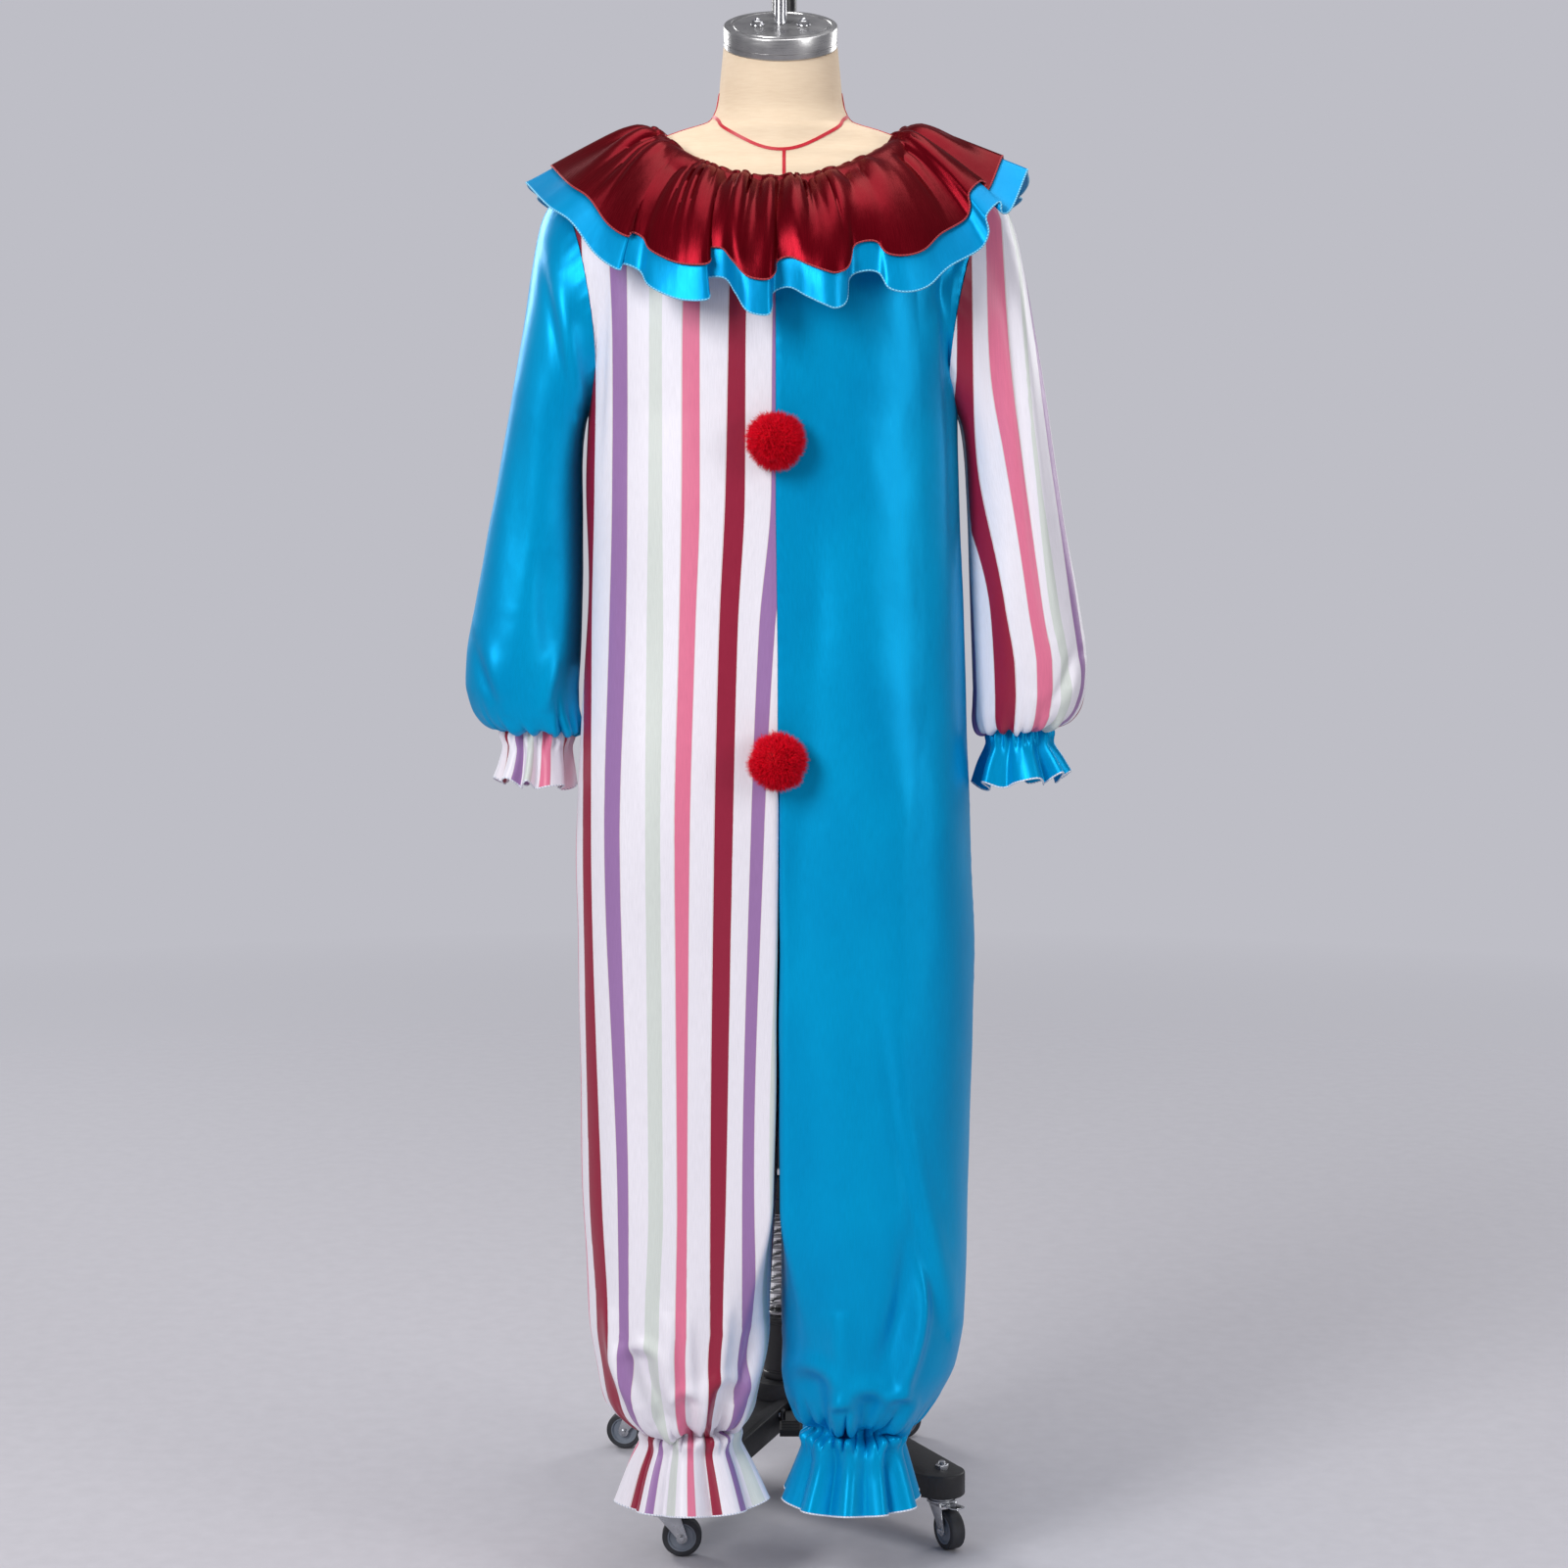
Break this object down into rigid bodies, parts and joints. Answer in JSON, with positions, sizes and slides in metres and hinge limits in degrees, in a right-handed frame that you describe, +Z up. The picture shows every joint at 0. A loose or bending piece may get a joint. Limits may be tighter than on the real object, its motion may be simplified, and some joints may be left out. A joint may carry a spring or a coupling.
{
  "type": "clown jumpsuit on dress form",
  "caption": "Loose satin clown jumpsuit, half striped and half blue, with a ruffled collar and red pompoms, worn by a limbless dress form on a wheeled pedal stand.",
  "frame": {"origin": "on the floor, below the centre of the whole's bounding box", "axes": "+Z up, -Y the garment's front, +X the blue half (the wearer's left)"},
  "size_m": [0.6569, 0.7305, 1.9475],
  "materials": {
    "striped_satin": "white satin with purple, pink, grey and burgundy stripes, semi-gloss",
    "blue_satin": "turquoise blue satin, semi-gloss",
    "burgundy_satin": "burgundy satin, semi-gloss",
    "red_fur": "long red faux fur",
    "linen": "papier mache shell under cream linen, matte",
    "aluminium": "brushed",
    "chrome": "polished",
    "spring_steel": "plain",
    "zinc": "zinc plated",
    "cast_iron": "black paint",
    "black_steel": "black gloss paint",
    "rubber": "matte",
    "tyre": "grey, matte"
  },
  "bodies": {
    "base": {"base": "cast_iron", "post_socket": "black_steel", "guide_tube": "chrome", "landing_spring": "spring_steel"},
    "carriage": {"mast_collar": "black_steel", "mast_washer": "chrome", "mast_tube": "black_steel", "gooseneck": "black_steel", "rod_clamp": "black_steel", "hanger_rod": "chrome", "neck_cap": "aluminium", "cap_bolt_left": "chrome", "cap_bolt_right": "chrome", "form_torso": "linen", "front_striped": "striped_satin", "back_striped": "striped_satin", "front_blue": "blue_satin", "back_blue": "blue_satin", "sleeve_blue": "blue_satin", "sleeve_striped": "striped_satin", "cuff_striped": "striped_satin", "cuff_blue": "blue_satin", "collar_under": "blue_satin", "collar_top": "burgundy_satin", "pompom_upper": "red_fur", "pompom_lower": "red_fur"},
    "pedal": {"pedal": "rubber"},
    "swivel_front_right": {"fork_front_right": "zinc"},
    "roll_front_right": {"wheel_front_right": "tyre"},
    "swivel_front_left": {"fork_front_left": "zinc"},
    "roll_front_left": {"wheel_front_left": "tyre"},
    "swivel_rear_right": {"fork_rear_right": "zinc"},
    "roll_rear_right": {"wheel_rear_right": "tyre"},
    "swivel_rear_left": {"fork_rear_left": "zinc"},
    "roll_rear_left": {"wheel_rear_left": "tyre"}
  },
  "joints": [
    {"name": "mast_lift", "type": "slide", "parent": "base", "child": "carriage", "axis": [0, 0, 1], "range_m": [0, 0.25]},
    {"name": "pedal_hinge", "type": "hinge", "parent": "base", "child": "pedal", "pos_m": [0.0115, 0.0625, 0.1135], "axis": [1, 0, 0], "range_deg": [0, 15], "stiffness_Nm_per_rad": 5, "springref_deg": -5.73},
    {"name": "swivel_front_right", "type": "hinge", "parent": "base", "child": "swivel_front_right", "pos_m": [0.18078, -0.05178, 0.05], "axis": [0, 0, 1], "continuous": true},
    {"name": "roll_front_right", "type": "hinge", "parent": "swivel_front_right", "child": "roll_front_right", "pos_m": [0.18876, -0.06679, 0.022], "axis": [0.8829, 0.4695, 0], "continuous": true},
    {"name": "swivel_front_left", "type": "hinge", "parent": "base", "child": "swivel_front_left", "pos_m": [-0.12662, -0.08816, 0.05], "axis": [0, 0, 1], "continuous": true},
    {"name": "roll_front_left", "type": "hinge", "parent": "swivel_front_left", "child": "roll_front_left", "pos_m": [-0.10963, -0.08816, 0.022], "axis": [0, 1, 0], "continuous": true},
    {"name": "swivel_rear_right", "type": "hinge", "parent": "base", "child": "swivel_rear_right", "pos_m": [0.13462, 0.33816, 0.05], "axis": [0, 0, 1], "continuous": true},
    {"name": "roll_rear_right", "type": "hinge", "parent": "swivel_rear_right", "child": "roll_rear_right", "pos_m": [0.1506, 0.34397, 0.022], "axis": [-0.342, 0.9397, 0], "continuous": true},
    {"name": "swivel_rear_left", "type": "hinge", "parent": "base", "child": "swivel_rear_left", "pos_m": [-0.17278, 0.30178, 0.05], "axis": [0, 0, 1], "continuous": true},
    {"name": "roll_rear_left", "type": "hinge", "parent": "swivel_rear_left", "child": "roll_rear_left", "pos_m": [-0.18952, 0.30473, 0.022], "axis": [-0.1736, -0.9848, 0], "continuous": true}
  ]
}
